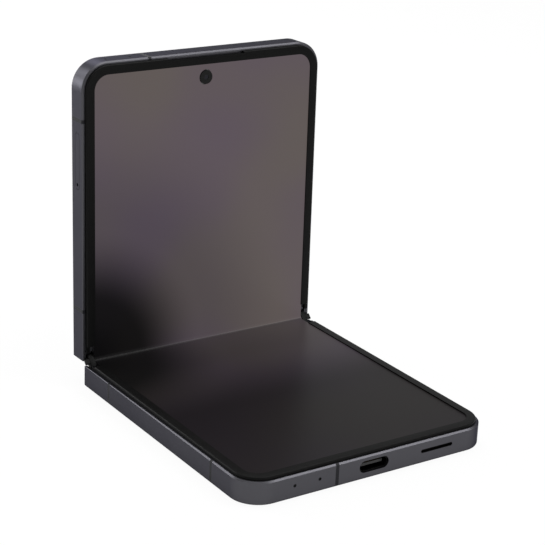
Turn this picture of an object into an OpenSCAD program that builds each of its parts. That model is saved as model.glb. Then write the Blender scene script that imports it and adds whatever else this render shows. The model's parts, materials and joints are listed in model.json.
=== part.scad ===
// Foldable smartphone: two equal halves on a two-axis hinge, shown as the photograph shows it.
// Every piece of a half is drawn flat, with x across, y away from the hinge line and z from the
// outer face up to the display side. Pieces of the hinge are drawn with the halves' two axes at
// z = 0. The three place modules then stand the groups up at the opening angle.

/* [Overall] */
// Width across the hinge
phone_w = 75.2; // [68:0.1:84]
// Length of one half, from the hinge plane to its far end
half_len = 83.35; // [78:0.05:96]
// Thickness of one half, from its outer face to the level at which it closes
half_t = 6.9; // [6.6:0.05:8.4]
// Opening angle between the two halves
open_angle = 91; // [80:1:100]
// Radius of the four outer corners, seen from above
corner_r = 7.6; // [7:0.1:11]

/* [Frame] */
// Wall of the frame at its sides and far end
side_wall = 1.6; // [1.3:0.05:2]
// How far the frame's rim lies under the closing level
rim_drop = 0.6; // [0.4:0.05:0.8]
// Chamfer that runs round the frame on its display side
chamfer = 0.4; // [0.2:0.01:0.5]
// Thickness of the plate that closes the frame under the display
mid_plate = 0.75; // [0.5:0.05:0.9]
// Gap between each half's end and the hinge plane
end_gap = 0.1; // [0.05:0.01:0.3]
// Width of the plastic antenna bands
antenna_w = 1.0; // [0.6:0.1:1.6]

/* [Covers] */
// Thickness of the glass on the outer faces
glass_t = 0.7; // [0.5:0.05:0.8]
// How far the glass stands proud of the frame
glass_proud = 0.1; // [0.05:0.01:0.2]
// Width of frame left round the outer glass
glass_rim = 1.1; // [0.95:0.05:1.5]
// Distance from the far end to the seam between window and rear cover
window_len = 25.35; // [23.5:0.05:30]

/* [Display] */
// Width of frame and groove outside the bezel
bezel_inset = 0.8; // [0.7:0.05:1]
// Distance from the frame's edge to the lit display
display_inset = 3.3; // [3:0.1:4]
// How far the display reaches in under the bezel
display_lap = 0.2; // [0.1:0.05:0.4]
// Thickness of the folding display
display_t = 0.6; // [0.4:0.05:0.65]
// Depth of the display's surface under the closing level
display_drop = 0.1; // [0.05:0.01:0.2]
// Height of the bezel over the closing level
bezel_rise = 0.25; // [0.15:0.01:0.3]
// Rounding of the bezel's outer edge
bezel_round = 0.3; // [0.1:0.05:0.4]
// Distance from the hinge plane to the end of the bezel
bezel_from = 4.4; // [3.4:0.1:6]
// Radius of the lit display's corners
display_r = 6.9; // [5:0.1:8]
// Thickness of the metal plate behind the display
plate_t = 0.3; // [0.2:0.05:0.35]

/* [Hinge] */
// Distance of each half's axis from the hinge plane
axis_out = 0.6; // [0.5:0.01:0.7]
// Depth of the axis under the closing level
axis_drop = 0.25; // [0.2:0.01:0.3]
// Outer radius of the spine about each axis
spine_r = 5.1; // [4.7:0.05:5.15]
// Running gap between the spine and a half
spine_gap = 0.15; // [0.1:0.01:0.25]
// Wall of the spine
spine_wall = 0.65; // [0.5:0.05:0.8]
// Depth of the spine's flat back under the axes
spine_depth = 4.0; // [3.7:0.05:4.3]
// Distance from the frame's side to the end of the spine
spine_inset = 3.2; // [3.1:0.05:3.6]
// Start of a hinge mechanism, from the middle of the phone
module_from = 14; // [13:0.5:16]
// Length of a hinge mechanism along the hinge
module_len = 16; // [15:0.5:17]

/* [Ports] */
// Width of the charging socket's opening
usb_w = 9.0; // [8.8:0.05:9.6]
// Height of the charging socket's opening
usb_h = 3.2; // [3.1:0.05:3.3]
// Middle of the loudspeaker's slot, across the phone
speaker_x = 19.9; // [17:0.1:22]
// Length of the loudspeaker's slot
speaker_w = 10.2; // [8:0.1:13]
// Height of the loudspeaker's slot
speaker_h = 1.0; // [0.8:0.05:1.4]
// Radius of the microphone holes
mic_r = 0.45; // [0.3:0.05:0.6]
// Length of the card tray's face
tray_len = 15.5; // [14:0.1:17]
// Height of the card tray's face
tray_h = 2.2; // [1.8:0.05:2.4]
// Middle of the card tray, from the far end
tray_inset = 26.75; // [25:0.05:30]

/* [Keys] */
// Length of the volume key
volume_len = 18; // [14:0.5:20]
// Middle of the volume key, from the far end
volume_inset = 28.35; // [27.5:0.05:31]
// Length of the power key
power_len = 12; // [9:0.5:14]
// Distance between the middles of the two keys
key_pitch = 23; // [18:0.5:26]
// Height of both keys
key_h = 2.4; // [2:0.1:2.8]
// How far the keys stand out of the side
key_proud = 0.3; // [0.25:0.01:0.4]

/* [Cameras] */
// Radius of the hole in the display for the front camera
front_hole_r = 2.15; // [1.8:0.05:2.6]
// Distance of the front camera from the far end
front_inset = 6.95; // [6.6:0.05:7.6]
// Outer radius of the rear camera rings
ring_r = 5.6; // [4.8:0.1:6]
// Height of the rear camera rings over the outer face
ring_rise = 1.0; // [0.6:0.1:1.5]
// Distance of the rear cameras from the far end
rear_inset = 12.5; // [11.5:0.1:14]
// Distance of the outer rear camera from the side
rear_side = 10.6; // [9.6:0.1:12]
// Distance between the two rear cameras
rear_pitch = 14.5; // [13:0.1:15]

/* [Hidden] */
$fn = 64;

FRAME_COLOR = [0.24, 0.24, 0.26];
BAND_COLOR = [0.16, 0.16, 0.17];
COVER_COLOR = [0.22, 0.22, 0.24];
GLASS_COLOR = [0.05, 0.05, 0.06];
BEZEL_COLOR = [0.1, 0.1, 0.1];
SCREEN_COLOR = [0.36, 0.34, 0.33];
STEEL_COLOR = [0.6, 0.6, 0.62];
BATTERY_COLOR = [0.13, 0.13, 0.14];
BOARD_COLOR = [0.08, 0.25, 0.2];
COPPER_COLOR = [0.72, 0.45, 0.25];

// Small gaps between pieces that are fitted together
fit_gap = 0.05;
// Length by which a cutter runs past the face that it opens
over = 1;

half_w = phone_w / 2;
lean = (180 - open_angle) / 2;
hinge_y = half_len / 2;
frame_z0 = glass_proud;
axis_z = half_t - axis_drop;
display_top = half_t - display_drop;
display_under = display_top - display_t;
plate_under = display_under - plate_t;
bay_top = plate_under - mid_plate;
rim_top = half_t - rim_drop;
bay_w = phone_w - 2 * side_wall;
bay_end = half_len - side_wall;
bay_r = corner_r - side_wall;
bezel_top = half_t + bezel_rise;
spine_half = half_w - spine_inset;
pocket_r = spine_r + spine_gap;
pocket_half = spine_half + 0.2;
display_half = half_w - display_inset + display_lap;
display_far = half_len - display_inset + display_lap;

// Wall between the hinge pocket and the bay for the inner parts
bay_from = axis_out + pocket_r + 1.15;
// Place where the outer glass starts, from the hinge plane
glass_from = 2.2;
// Middle height of the ports in the sides
port_z = 3.45;
// Rise and run of the rounding on the frame's outer edge
edge_steps = [[0.4, 0], [0.12, 0.12], [0, 0.4]];
// Small bevel on the hinge end of the frame
end_bevel = 0.3;
// Gap round the card tray and the keys
key_gap = 0.1;

// Hinge caps: the two small pieces that close the ends of the fold
cap_from = pocket_half + 0.2;
cap_len = 1.4;
cap_half = 1.4;
cap_top = 0.4;
cap_under = -0.15;
cap_stem = 0.5;
cap_arm_top = -0.6;
cap_relief = [2.6, 1.6];

// Arms of the hinge: a flat leaf and a curved rail about the axis of its half
leaf_t = 0.38;
leaf_z = display_under - 0.05 - leaf_t;
leaf_from = axis_out + 1.0;
leaf_to = bay_from + 2.6;
rail_r = [1.3, 1.75];
rail_span = [-150, -30];
rail_len = 3;
rail_lower_at = 2;
rail_upper_at = 11;
rail_gap = 0.07;
arm_screw_r = 0.45;
arm_screw_head = 0.9;
arm_screw_y = leaf_to - 1.5;
housing_top = [1.05, -0.55, -1.05];

// Gear train that keeps both halves in step: a toothed sector on each arm, a pinion beside each
// sector and two idlers between the pinions. Each sector lies in a bay of its own, on either side
// of the bay that all four small gears share.
gear_m = 0.2;
sector_teeth = 20;
pinion_teeth = 8;
pressure = 25;
tooth_head = 0.8 * gear_m;
tooth_foot = 1.1 * gear_m;
tooth_play = 0.02;
pinion_pitch_r = gear_m * pinion_teeth / 2;
sector_pitch_r = gear_m * sector_teeth / 2;
pinion_u = 3 * pinion_pitch_r;
idler_u = pinion_pitch_r;
gear_w = -sqrt(pow(sector_pitch_r + pinion_pitch_r, 2) - pow(pinion_u - axis_out, 2));
mesh_angle = -acos((pinion_u - axis_out) / (sector_pitch_r + pinion_pitch_r));
gear_ratio = sector_teeth / pinion_teeth;
gear_step = 360 / pinion_teeth;
gear_bay_r = pinion_pitch_r + tooth_head + 0.06;
sector_bay_r = sector_pitch_r + tooth_head + 0.12;
gear_side_gap = 0.06;
gear_wall = 0.5;
journal_r = 0.3;
journal_gap = 0.03;
lower_gear_zone = [5.4, 6.8];
shared_gear_zone = [lower_gear_zone[1] + gear_wall, lower_gear_zone[1] + gear_wall + 1.5];
upper_gear_zone = [shared_gear_zone[1] + gear_wall, shared_gear_zone[1] + gear_wall + 1.4];

// Flexible circuit across the hinge
flex_x = -8;
flex_w = 8;
flex_t = 0.12;
flex_z = display_under - 0.25;
flex_to = bay_from + 2.2;

// Where the antenna bands cross the sides and ends
bands_lower_y = [14.0, half_len - 16.75];
bands_upper_y = [14.6, half_len - 15.55];
band_lower_x = -11.3;
band_upper_x = -17.3;
mics_lower_x = [-half_w + 13.7, -half_w + 21.1];
mics_upper_x = [-half_w + 8.4, -half_w + 15.7];

// Places along the upper half, from the hinge plane
window_from = half_len - window_len;
tray_at = half_len - tray_inset;
volume_at = half_len - volume_inset;
power_at = volume_at - key_pitch;

// ---- Placing the groups ----

module on_lower() translate([0, hinge_y, 0]) mirror([0, 1, 0]) children();

module on_spine() translate([0, hinge_y - axis_out + axis_out * cos(lean), axis_z + axis_out * sin(lean)])
    rotate([lean, 0, 0]) children();

module on_upper() translate([0, hinge_y - axis_out + 2 * axis_out * cos(lean),
    axis_z + 2 * axis_out * sin(lean)]) rotate([2 * lean, 0, 0]) translate([0, -axis_out, -axis_z]) children();

// ---- Shapes that repeat ----

// Outline of a half with rounded far corners, shrunk by an inset
module outline(inset, from, r) {
    w = phone_w - 2 * inset;
    far = half_len - inset;
    translate([-w / 2, from]) square([w, far - r - from]);
    translate([-w / 2 + r, from]) square([w - 2 * r, far - from]);
    for (side = [-1, 1]) translate([side * (w / 2 - r), far - r]) circle(r);
}

module plate(inset, from, r, z0, z1) translate([0, 0, z0]) linear_extrude(z1 - z0) outline(inset, from, r);

module block(x0, x1, y0, y1, z0, z1) translate([x0, y0, z0]) cube([x1 - x0, y1 - y0, z1 - z0]);

// A flat shape in the plane of y and z, run along x
module along_x(x0, x1) translate([x0, 0, 0]) rotate([90, 0, 90]) linear_extrude(x1 - x0) children();

// A slot with round ends that runs along y through a side, or along x through an end
module side_slot(x0, x1, y, z, length, height) {
    for (end = [-1, 1]) translate([x0, y + end * (length - height) / 2, z])
        rotate([0, 90, 0]) cylinder(h = x1 - x0, d = height);
    block(x0, x1, y - (length - height) / 2, y + (length - height) / 2, z - height / 2, z + height / 2);
}

module end_slot(y0, y1, x, z, length, height) {
    for (end = [-1, 1]) translate([x + end * (length - height) / 2, y1, z])
        rotate([90, 0, 0]) cylinder(h = y1 - y0, d = height);
    block(x - (length - height) / 2, x + (length - height) / 2, y0, y1, z - height / 2, z + height / 2);
}

// A piece inside the bay of a half, kept off the bay's round corners
module in_bay(z0, z1) intersection() {
    plate(side_wall + fit_gap, bay_from + fit_gap, bay_r, z0, z1);
    children();
}

module wedge(a0, a1) {
    reach = 20;
    polygon([[0, 0], for (k = [0 : 4]) reach * [cos(a0 + (a1 - a0) * k / 4), sin(a0 + (a1 - a0) * k / 4)]]);
}

module arc_band(r0, r1, a0, a1) intersection() {
    difference() {
        circle(r1);
        circle(r0);
    }
    wedge(a0, a1);
}

// ---- Frames ----

// A slab with rounded far corners whose edge follows a profile of [inset, height] points, from its
// lowest to its highest
module slab(edge, start) {
    low = edge[0][1];
    high = edge[len(edge) - 1][1];
    across = [for (p = edge) [half_w - p[0], p[1]]];
    difference() {
        intersection() {
            translate([0, half_len, 0]) rotate([90, 0, 0]) linear_extrude(half_len - start[0][0])
                polygon(concat(across, [for (k = [len(across) - 1 : -1 : 0]) [-across[k][0], across[k][1]]]));
            along_x(-half_w, half_w) polygon(concat(start, [for (p = edge) [half_len - p[0], p[1]]]));
        }
        for (side = [-1, 1]) translate([side * (half_w - corner_r), half_len - corner_r, 0]) difference() {
            translate([side > 0 ? 0 : -corner_r - over, 0, low - over])
                cube([corner_r + over, corner_r + over, high - low + 2 * over]);
            rotate_extrude() polygon(concat([[0, low]], [for (p = edge) [corner_r - p[0], p[1]]], [[0, high]]));
        }
    }
}

module frame_blank() slab(
    concat([for (p = edge_steps) [p[0], frame_z0 + p[1]]], [[0, rim_top - chamfer], [chamfer, rim_top]]),
    [[end_gap, rim_top - end_bevel], [end_gap, frame_z0 + end_bevel], [end_gap + end_bevel, frame_z0]]);

// What both frames lose: the bay, the seats of covers, bezel and display, and the hinge pocket
module frame_cuts() {
    plate(side_wall, bay_from, bay_r, glass_t, bay_top);
    plate(glass_rim - fit_gap, glass_from - fit_gap, corner_r - glass_rim, -over, glass_t);
    plate(bezel_inset, end_gap - over, corner_r - bezel_inset, plate_under, half_t + over);
    along_x(-pocket_half, pocket_half) translate([axis_out, axis_z]) circle(pocket_r);
    for (side = [-1, 1]) translate([side * (cap_from + cap_len / 2), 0, 0])
        block(-cap_len / 2 - 0.5, cap_len / 2 + 0.2, -over, cap_relief[0], axis_z - cap_relief[1], half_t + over);
    for (side = [-1, 1]) mirror([side > 0 ? 0 : 1, 0, 0]) {
        block(module_from - fit_gap, module_from + module_len + fit_gap, axis_out, leaf_to + fit_gap,
            leaf_z, plate_under + over);
        for (x = arm_screw_x) translate([x, arm_screw_y, bay_top - over]) cylinder(h = 2 * over + mid_plate, r = arm_screw_r);
    }
    block(flex_x - flex_w / 2 - fit_gap, flex_x + flex_w / 2 + fit_gap, axis_out, flex_to + fit_gap,
        flex_z - flex_t / 2, plate_under + over);
    block(flex_x - flex_w / 2 - fit_gap, flex_x + flex_w / 2 + fit_gap, flex_to - 1.2, flex_to + fit_gap,
        bay_top - over, plate_under + over);
}

arm_screw_x = [module_from + 3, module_from + module_len - 3];

module side_bands(places) for (y = places, side = [-1, 1])
    translate([side > 0 ? half_w - side_wall : -half_w - over, y - antenna_w / 2, -over])
        cube([side_wall + over, antenna_w, half_t + 2 * over]);

module end_band(x) translate([x - antenna_w / 2, half_len - side_wall, -over])
    cube([antenna_w, side_wall + over, half_t + 2 * over]);

module bands_lower_zone() {
    side_bands(bands_lower_y);
    end_band(band_lower_x);
}

module bands_upper_zone() {
    side_bands(bands_upper_y);
    end_band(band_upper_x);
}

module mic_holes(places) for (x = places) translate([x, half_len + over, port_z])
    rotate([90, 0, 0]) cylinder(h = side_wall + 2 * over, r = mic_r);

module lower_blank() difference() {
    frame_blank();
    frame_cuts();
    end_slot(usb_back, half_len + over, 0, port_z, usb_w, usb_h);
    end_slot(bay_end - over, half_len + over, speaker_x, port_z, speaker_w, speaker_h);
    mic_holes(mics_lower_x);
}

module upper_blank() difference() {
    frame_blank();
    frame_cuts();
    mic_holes(mics_upper_x);
    side_slot(-half_w - over, -half_w + side_wall + over, tray_at, port_z, tray_len + 2 * key_gap, tray_h + 2 * key_gap);
    side_slot(half_w - side_wall - over, half_w + over, volume_at, port_z, volume_len + 2 * key_gap, key_h + 2 * key_gap);
    side_slot(half_w - side_wall - over, half_w + over, power_at, port_z, power_len + 2 * key_gap, key_h + 2 * key_gap);
    translate([0, half_len - front_inset, bay_top - over]) cylinder(h = mid_plate + 2 * over, r = front_body_r + fit_gap);
}

module frame_lower() color(FRAME_COLOR) on_lower() difference() {
    lower_blank();
    bands_lower_zone();
}

module frame_upper() color(FRAME_COLOR) on_upper() difference() {
    upper_blank();
    bands_upper_zone();
}

module antenna_bands_lower() color(BAND_COLOR) on_lower() intersection() {
    lower_blank();
    bands_lower_zone();
}

module antenna_bands_upper() color(BAND_COLOR) on_upper() intersection() {
    upper_blank();
    bands_upper_zone();
}

// ---- Covers ----

module back_cover_lower() color(COVER_COLOR) on_lower()
    plate(glass_rim, glass_from, corner_r - glass_rim, 0, glass_t);

// Width of the seam between the rear cover and the window
seam = 0.1;

module back_cover_upper() color(COVER_COLOR) on_upper()
    block(-half_w + glass_rim, half_w - glass_rim, glass_from, window_from - seam, 0, glass_t);

rear_x = [half_w - rear_side, half_w - rear_side - rear_pitch];
rear_y = half_len - rear_inset;
flash_r = 1.4;
flash_x = (rear_x[0] + rear_x[1]) / 2;
flash_y = rear_y - ring_r - 2.6;

module cover_window() color(GLASS_COLOR) on_upper() difference() {
    plate(glass_rim, window_from, corner_r - glass_rim, 0, glass_t);
    for (x = rear_x) translate([x, rear_y, -over]) cylinder(h = glass_t + 2 * over, r = ring_r + fit_gap);
    translate([flash_x, flash_y, -over]) cylinder(h = glass_t + 2 * over, r = flash_r + fit_gap);
}

cover_display_t = 0.5;

module cover_display() color(SCREEN_COLOR) on_upper()
    in_bay(glass_t, glass_t + cover_display_t)
        block(-half_w + 5, rear_x[1] - ring_r - 2, window_from + 3, half_len - 4, glass_t, glass_t + cover_display_t);

// ---- Bezels and display ----

// Height of the bezel's stepped end beside the hinge
bezel_step = 0.4;
bezel_step_from = cap_relief[0] + 0.1;
// Wall of the bezel that stands in the frame
bezel_wall = 0.95;

// Outer edge of the bezel, rounded at its top by three short facets
function bezel_edge(rise) = [for (p = [[0, -1], [0.13, -0.5], [0.5, -0.13], [1, 0]])
    [bezel_inset + fit_gap + p[0] * bezel_round, rise + p[1] * bezel_round]];

module bezel() {
    difference() {
        union() {
            for (part = [[bezel_from, bezel_top], [bezel_step_from, bezel_top - bezel_step]])
                slab(concat([[bezel_inset + fit_gap, plate_under]], bezel_edge(part[1])),
                    [[part[0], part[1]], [part[0], plate_under]]);
        }
        plate(display_inset, 0, display_r, plate_under - over, bezel_top + over);
        plate(bezel_inset + bezel_wall, 0, corner_r - bezel_inset - bezel_wall, plate_under - over, display_top);
    }
}

// Slot for sound in the outer edge of the upper bezel
slot_w = 23.7;
slot_d = 0.5;

module bezel_lower() color(BEZEL_COLOR) on_lower() bezel();

module bezel_upper() color(BEZEL_COLOR) on_upper() difference() {
    bezel();
    block(-slot_w / 2, slot_w / 2, half_len - bezel_inset - fit_gap - slot_d, half_len, plate_under - over,
        bezel_top + over);
}

module display_sheet(z0, z1, from) plate(display_inset - display_lap, from, display_r + display_lap, z0, z1);

module display_lower() color(SCREEN_COLOR) on_lower() display_sheet(display_under, display_top, 2 * axis_out);

module display_upper() color(SCREEN_COLOR) on_upper() difference() {
    display_sheet(display_under, display_top, 2 * axis_out);
    translate([0, half_len - front_inset, display_under - over]) cylinder(h = display_t + 2 * over, r = front_hole_r);
}

module plate_notches() {
    for (side = [-1, 1]) mirror([side > 0 ? 0 : 1, 0, 0])
        block(module_from - fit_gap, module_from + module_len + fit_gap, -over, leaf_to + fit_gap,
            plate_under - over, display_under + over);
    block(flex_x - flex_w / 2 - fit_gap, flex_x + flex_w / 2 + fit_gap, -over, flex_to + fit_gap,
        plate_under - over, display_under + over);
}

module display_plate_lower() color(STEEL_COLOR) on_lower() difference() {
    display_sheet(plate_under, display_under, 2 * axis_out);
    plate_notches();
}

module display_plate_upper() color(STEEL_COLOR) on_upper() difference() {
    display_sheet(plate_under, display_under, 2 * axis_out);
    plate_notches();
    translate([0, half_len - front_inset, plate_under - over]) cylinder(h = plate_t + 2 * over, r = front_body_r + fit_gap);
}

// A strip bent round the hinge, at a depth under the axes, between the two flat stretches
module fold_strip(x0, x1, z0, z1) along_x(x0, x1) translate([0, axis_out / tan(lean / 2)])
    arc_band(axis_out / tan(lean / 2) + axis_z - z1, axis_out / tan(lean / 2) + axis_z - z0, -90 - lean, -90 + lean);

module display_fold() color(SCREEN_COLOR) on_spine() fold_strip(-display_half, display_half, display_under, display_top);

module flex_fold() color(COPPER_COLOR) on_spine()
    fold_strip(flex_x - flex_w / 2, flex_x + flex_w / 2, flex_z - flex_t / 2, flex_z + flex_t / 2);

module flex_tail() {
    block(flex_x - flex_w / 2, flex_x + flex_w / 2, 2 * axis_out, flex_to, flex_z - flex_t / 2, flex_z + flex_t / 2);
    block(flex_x - flex_w / 2, flex_x + flex_w / 2, flex_to - 1.1, flex_to, bay_top - 0.6, flex_z);
}

module flex_tail_lower() color(COPPER_COLOR) on_lower() flex_tail();

module flex_tail_upper() color(COPPER_COLOR) on_upper() flex_tail();

// ---- Inside the lower half ----

inner_floor = glass_t + 0.4;
inner_top = bay_top;
inner_side = 4;
board_side = 3.5;
board_t = 0.75;
board_z = inner_top - board_t;
battery_from = bay_from + 3.5;
socket_bay = 23;
battery_lower_to = half_len - socket_bay;
lower_row = battery_lower_to + 1.5;
usb_len = 7;
usb_back = half_len - 0.5 - usb_len;

module battery(to) in_bay(inner_floor, inner_top - 0.1)
    block(-half_w + inner_side, half_w - inner_side, battery_from, to, inner_floor, inner_top - 0.1);

module battery_lower() color(BATTERY_COLOR) on_lower() battery(battery_lower_to);

module board_lower() color(BOARD_COLOR) on_lower() difference() {
    in_bay(board_z, inner_top) block(-half_w + board_side, speaker_x - speaker_w / 2 - 5, lower_row, bay_end - 1,
        board_z, inner_top);
    end_slot(usb_back, half_len, 0, port_z, usb_w, usb_h);
}

module usb_socket() color(STEEL_COLOR) on_lower() difference() {
    end_slot(usb_back, half_len - 0.5, 0, port_z, usb_w - 2 * fit_gap, usb_h - 2 * fit_gap);
    end_slot(usb_back + 0.6, half_len, 0, port_z, usb_w - 0.7, usb_h - 0.7);
}

module usb_tongue() color([0.07, 0.07, 0.07]) on_lower()
    block(-usb_w / 2 + 1.2, usb_w / 2 - 1.2, usb_back + 0.6, half_len - 1.3, port_z - 0.35, port_z + 0.35);

module loudspeaker() color([0.1, 0.1, 0.1]) on_lower() in_bay(inner_floor, inner_top)
    block(speaker_x - speaker_w / 2 - 4.8, half_w - board_side, lower_row, bay_end - 0.3, inner_floor, inner_top);

module speaker_mesh() color([0.3, 0.3, 0.31]) on_lower()
    end_slot(half_len - 1.1, half_len - 0.7, speaker_x, port_z, speaker_w, speaker_h);

module mic_cans(places) for (x = places) block(x - 1.6, x + 1.6, bay_end - 3.3, bay_end - 1.1, board_z - 1.1, board_z);

module microphones_lower() color(STEEL_COLOR) on_lower() mic_cans(mics_lower_x);

motor_r = 4.2;

module vibration_motor() color(STEEL_COLOR) on_lower()
    translate([-half_w + inner_side + motor_r + 2, lower_row + motor_r + 0.8, inner_floor])
        cylinder(h = board_z - inner_floor, r = motor_r);

coil_r = [10, 21];
coil_t = 0.3;

module charging_coil() color(COPPER_COLOR) on_lower()
    translate([0, (battery_from + battery_lower_to) / 2, glass_t]) difference() {
        cylinder(h = coil_t, r = coil_r[1]);
        translate([0, 0, -over]) cylinder(h = coil_t + 2 * over, r = coil_r[0]);
    }

magnet = [1.6, 8, 2.2];

module magnets() for (side = [-1, 1]) translate([side * (half_w - side_wall - fit_gap - magnet[0] / 2) - magnet[0] / 2,
    bay_end - bay_r - fit_gap - magnet[1], inner_top - magnet[2]]) cube(magnet);

module magnets_lower() color(STEEL_COLOR) on_lower() magnets();

module magnets_upper() color(STEEL_COLOR) on_upper() magnets();

// ---- Inside the upper half ----

battery_upper_to = tray_at - tray_len / 2 - 2.5;
upper_row = battery_upper_to + 1.5;
reader_x = -half_w + side_wall + 0.5;
card_depth = 15.5;
card_w = 10.6;
card_t = 0.7;
front_body_r = 2.9;
front_nose_r = front_hole_r - 0.2;

module battery_upper() color(BATTERY_COLOR) on_upper() battery(battery_upper_to);

module main_board() color(BOARD_COLOR) on_upper() difference() {
    in_bay(board_z, inner_top) block(-half_w + board_side, rear_x[1] - ring_r + module_inset - 0.1, upper_row,
        bay_end - 1, board_z, inner_top);
    translate([0, half_len - front_inset, board_z - over]) cylinder(h = board_t + 2 * over, r = front_body_r + fit_gap);
}

module front_camera() color(GLASS_COLOR) on_upper() translate([0, half_len - front_inset, 0]) {
    translate([0, 0, board_z - 1]) cylinder(h = display_under - 0.05 - board_z + 1, r = front_body_r);
    translate([0, 0, display_under - 0.1]) cylinder(h = display_t - 0.05, r = front_nose_r);
}

module earpiece() color(STEEL_COLOR) on_upper() in_bay(board_z - 1.6, board_z)
    block(-12, -front_body_r - 1, half_len - front_inset - 3, bay_end - 0.5, board_z - 1.6, board_z);

ring_wall = 1.0;
module_inset = 0.4;

module camera_rings() color(FRAME_COLOR) on_upper() for (x = rear_x) translate([x, rear_y, 0]) difference() {
    translate([0, 0, -ring_rise]) cylinder(h = ring_rise + glass_t, r = ring_r);
    translate([0, 0, -ring_rise - over]) cylinder(h = ring_rise + glass_t + 2 * over, r = ring_r - ring_wall);
}

module camera_glasses() color(GLASS_COLOR) on_upper() for (x = rear_x)
    translate([x, rear_y, -ring_rise + 0.15]) cylinder(h = 0.5, r = ring_r - ring_wall);

module camera_modules() color([0.08, 0.08, 0.09]) on_upper() for (x = rear_x) translate([x, rear_y, 0]) {
    translate([0, 0, -ring_rise + 0.65]) cylinder(h = ring_rise + glass_t, r = ring_r - ring_wall - 0.2);
    block(-ring_r + module_inset, ring_r - module_inset, -ring_r + module_inset, ring_r - module_inset,
        glass_t + 0.1, inner_top);
}

module flash_lens() color([0.9, 0.88, 0.8]) on_upper() translate([flash_x, flash_y, 0]) cylinder(h = glass_t, r = flash_r);

module microphones_upper() color(STEEL_COLOR) on_upper() mic_cans(mics_upper_x);

switch_t = 0.4;
key_flange = 0.6;
key_lip = 0.25;
key_travel = 0.25;
key_flange_x = half_w - side_wall - 0.1 - key_flange;

module key_switches() color([0.5, 0.42, 0.2]) on_upper() for (k = [[volume_at, volume_len], [power_at, power_len]])
    block(key_flange_x - key_travel - 0.05 - switch_t, key_flange_x - key_travel - 0.05,
        k[0] - k[1] / 2, k[0] + k[1] / 2, port_z - key_h / 2, port_z + key_h / 2);

module key(at, length) {
    side_slot(key_flange_x, half_w + key_proud, at, port_z, length, key_h);
    side_slot(key_flange_x, key_flange_x + key_flange, at, port_z, length + 2 * key_lip, key_h + 2 * key_lip);
}

module volume_key() color(FRAME_COLOR) on_upper() key(volume_at, volume_len);

module power_key() color(FRAME_COLOR) on_upper() key(power_at, power_len);

module sim_reader() color(STEEL_COLOR) on_upper() difference() {
    block(reader_x, reader_x + card_depth + 0.8, tray_at - card_w / 2 - 0.9, tray_at + card_w / 2 + 0.9,
        port_z - card_t / 2 - 0.45, board_z);
    block(reader_x - over, reader_x + card_depth, tray_at - card_w / 2 - 0.1, tray_at + card_w / 2 + 0.1,
        port_z - card_t / 2 - 0.1, port_z + card_t / 2 + 0.1);
}

module sim_tray() color(FRAME_COLOR) on_upper() difference() {
    union() {
        side_slot(-half_w, -half_w + side_wall - 0.2, tray_at, port_z, tray_len, tray_h);
        block(-half_w + side_wall - 0.3, reader_x + card_depth - 0.2, tray_at - card_w / 2, tray_at + card_w / 2,
            port_z - card_t / 2, port_z + card_t / 2);
    }
    block(reader_x + 1.4, reader_x + card_depth - 1.4, tray_at - card_w / 2 + 0.9, tray_at + card_w / 2 - 0.9,
        port_z - card_t / 2 + 0.15, port_z + tray_h);
    translate([-half_w - over, tray_at - tray_len / 2 + 1.2, port_z]) rotate([0, 90, 0])
        cylinder(h = side_wall + over, r = mic_r);
}

// ---- Gears ----

function involute(a) = tan(a) * 180 / PI - a;

// Half the angle of a tooth at a radius
function tooth_half(teeth, radius) =
    let (pitch = gear_m * teeth / 2, base = pitch * cos(pressure))
    (90 / teeth - tooth_play / pitch * 180 / PI) + involute(pressure)
    - (radius > base ? involute(acos(base / radius)) : 0);

// One side of a tooth, from a radius inside its root to its tip, as [angle from the tooth's middle, radius]
function flank(teeth, from) =
    let (pitch = gear_m * teeth / 2, base = max(pitch * cos(pressure), pitch - tooth_foot), tip = pitch + tooth_head)
    concat([[tooth_half(teeth, base), from]], [for (k = [0 : 4]) let (radius = base + (tip - base) * k / 4)
        [tooth_half(teeth, radius), radius]]);

function tooth(teeth, from, middle) =
    let (side = flank(teeth, from))
    concat([for (p = side) p[1] * [cos(middle - p[0]), sin(middle - p[0])]],
        [for (k = [len(side) - 1 : -1 : 0]) side[k][1] * [cos(middle + side[k][0]), sin(middle + side[k][0])]]);

// A small gear with a tooth at an angle
module pinion_shape(angle) polygon([for (k = [0 : pinion_teeth - 1])
    each tooth(pinion_teeth, pinion_pitch_r - tooth_foot, angle + k * gear_step)]);

// The toothed sector of an arm about the axis of its half, given as [first tooth, number of teeth]
module sector_shape(teeth) {
    step = 360 / sector_teeth;
    arc_band(rail_r[0], sector_pitch_r - tooth_foot, teeth[0] - (teeth[1] - 1) * step - 5, rail_span[1]);
    for (k = [0 : teeth[1] - 1]) polygon(tooth(sector_teeth, rail_r[1] - 0.1, teeth[0] - k * step));
}

// A small gear at a place in the hinge's section, with a journal at each end
module small_gear(u, zone, angle) on_spine() for (side = [-1, 1]) mirror([side > 0 ? 0 : 1, 0, 0]) {
    along_x(module_from + zone[0] + gear_side_gap, module_from + zone[1] - gear_side_gap)
        translate([u, gear_w]) pinion_shape(angle);
    along_x(module_from + zone[0] - gear_wall + gear_side_gap, module_from + zone[1] + gear_wall - gear_side_gap)
        translate([u, gear_w]) circle(journal_r);
}

module pinion_lower() color(STEEL_COLOR) small_gear(-pinion_u, [lower_gear_zone[0], shared_gear_zone[1]],
    pinion_lower_at + gear_ratio * lean);

module idler_lower() color(BAND_COLOR) small_gear(-idler_u, shared_gear_zone, idler_lower_at - gear_ratio * lean);

module idler_upper() color(BAND_COLOR) small_gear(idler_u, shared_gear_zone, idler_upper_at + gear_ratio * lean);

module pinion_upper() color(STEEL_COLOR) small_gear(pinion_u, [shared_gear_zone[0], upper_gear_zone[1]],
    pinion_upper_at - gear_ratio * lean);

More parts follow.
